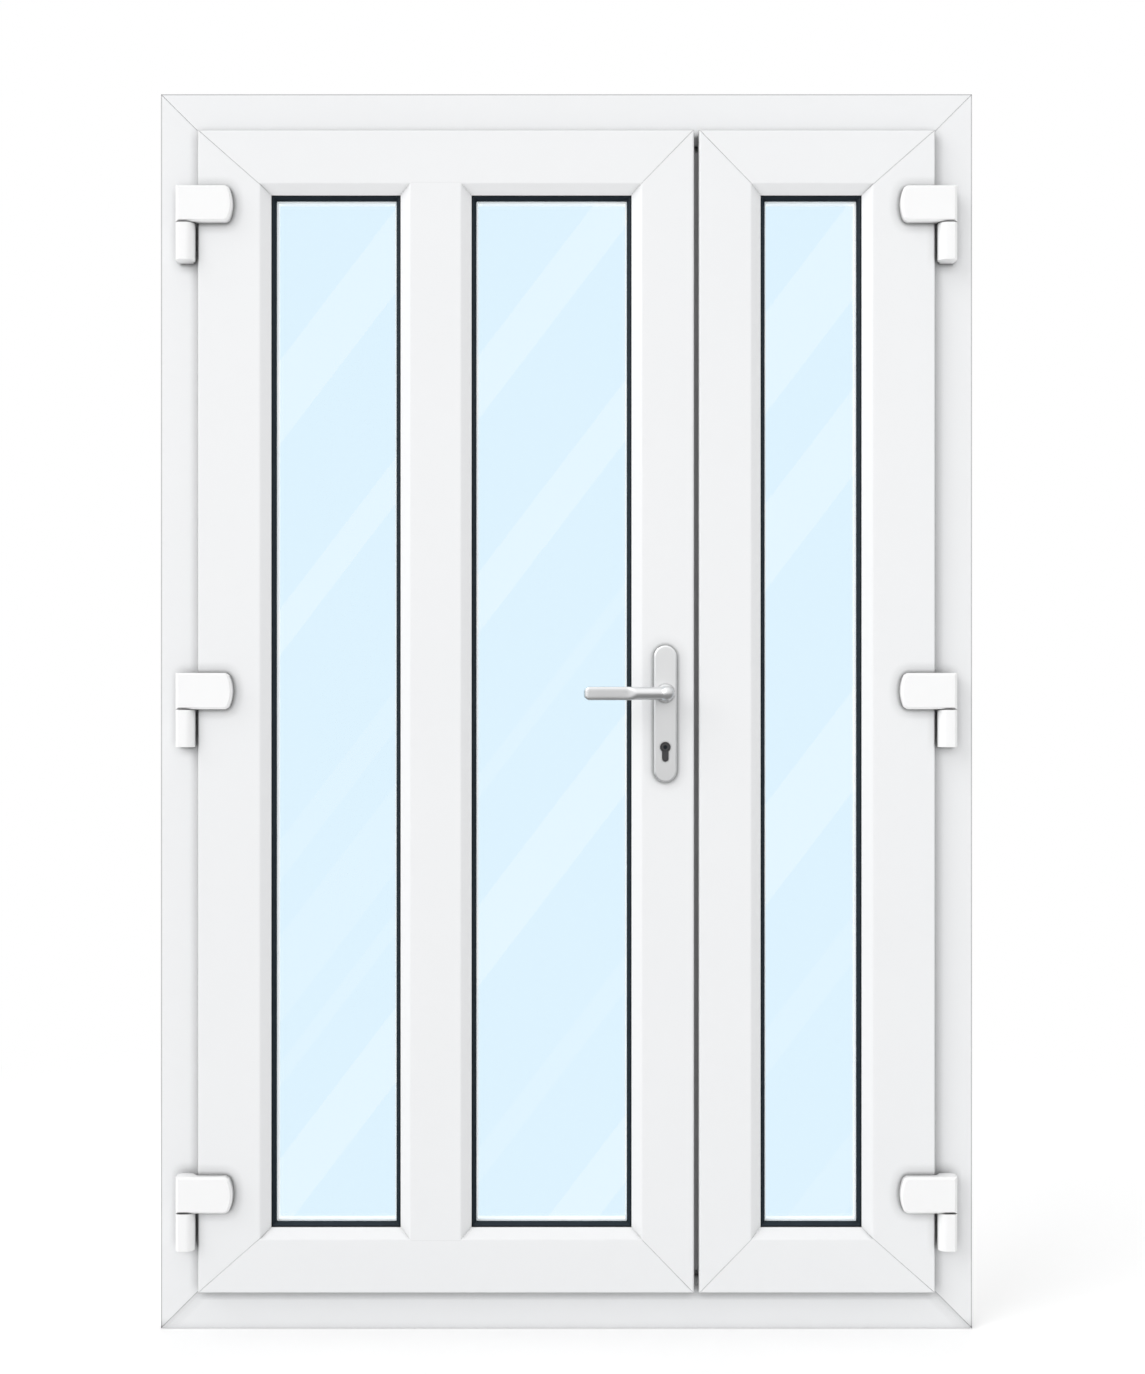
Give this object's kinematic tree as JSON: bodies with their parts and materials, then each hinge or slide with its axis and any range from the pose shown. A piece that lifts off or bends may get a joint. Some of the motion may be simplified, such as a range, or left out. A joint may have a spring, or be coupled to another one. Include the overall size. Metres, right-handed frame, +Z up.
{
  "type": "front door",
  "caption": "White front door: a welded frame with a wide glazed main leaf and a narrow glazed second leaf, hung on barrel hinges to open outwards, with a lever handle and lock.",
  "frame": {"origin": "middle of the frame's underside, at mid-depth of the frame", "axes": "+Z up, front (outside) faces -Y, +X to the right as seen from outside"},
  "size_m": [1.4, 0.208, 2.13],
  "materials": {
    "white_profile": "smooth satin white",
    "black_rubber": "smooth black",
    "grey_rubber": "matte dark grey",
    "clear_glass": "clear, pale blue",
    "white_spacer": "matte white",
    "white_hinge": "smooth white",
    "steel": "zinc plated",
    "satin_silver": "satin anodised",
    "dark_cylinder": "dark nickel"
  },
  "bodies": {
    "frame": {"frame_head": "white_profile", "frame_sill": "white_profile", "frame_left_jamb": "white_profile", "frame_right_jamb": "white_profile", "frame_seal": "grey_rubber", "hinge_pins": "steel", "left_bottom_hinge_frame": "white_hinge", "left_middle_hinge_frame": "white_hinge", "left_top_hinge_frame": "white_hinge", "right_bottom_hinge_frame": "white_hinge", "right_middle_hinge_frame": "white_hinge", "right_top_hinge_frame": "white_hinge"},
    "main_leaf": {"main_hinge_stile": "white_profile", "main_lock_stile": "white_profile", "main_top_rail": "white_profile", "main_bottom_rail": "white_profile", "main_mullion": "white_profile", "main_leaf_seal": "grey_rubber", "front_handle_plate": "satin_silver", "back_handle_plate": "satin_silver", "lock_cylinder": "dark_cylinder", "lock_faceplate": "steel", "lock_bolts": "steel", "main_left_glass": "clear_glass", "main_left_spacer": "white_spacer", "main_left_gaskets": "black_rubber", "main_left_beads": "white_profile", "main_right_glass": "clear_glass", "main_right_spacer": "white_spacer", "main_right_gaskets": "black_rubber", "main_right_beads": "white_profile", "left_bottom_hinge_leaf": "white_hinge", "left_middle_hinge_leaf": "white_hinge", "left_top_hinge_leaf": "white_hinge"},
    "handle": {"front_lever": "satin_silver", "back_lever": "satin_silver", "spindle": "steel"},
    "second_leaf": {"second_hinge_stile": "white_profile", "second_meeting_stile": "white_profile", "second_top_rail": "white_profile", "second_bottom_rail": "white_profile", "second_leaf_seal": "grey_rubber", "meeting_cover": "white_profile", "meeting_lip": "grey_rubber", "strike_plate": "steel", "second_glass": "clear_glass", "second_spacer": "white_spacer", "second_gaskets": "black_rubber", "second_beads": "white_profile", "right_bottom_hinge_leaf": "white_hinge", "right_middle_hinge_leaf": "white_hinge", "right_top_hinge_leaf": "white_hinge"}
  },
  "joints": [
    {"name": "main_leaf_hinge", "type": "hinge", "parent": "frame", "child": "main_leaf", "pos_m": [-0.6525, -0.058, 1.065], "axis": [0, 0, -1], "range_deg": [0, 105]},
    {"name": "second_leaf_hinge", "type": "hinge", "parent": "frame", "child": "second_leaf", "pos_m": [0.6525, -0.058, 1.065], "axis": [0, 0, 1], "range_deg": [0, 105]},
    {"name": "lever_turn", "type": "hinge", "parent": "main_leaf", "child": "handle", "pos_m": [0.169, -0.056, 1.096], "axis": [0, -1, 0], "range_deg": [0, 45], "stiffness_Nm_per_rad": 1.5, "springref_deg": -22.92}
  ]
}
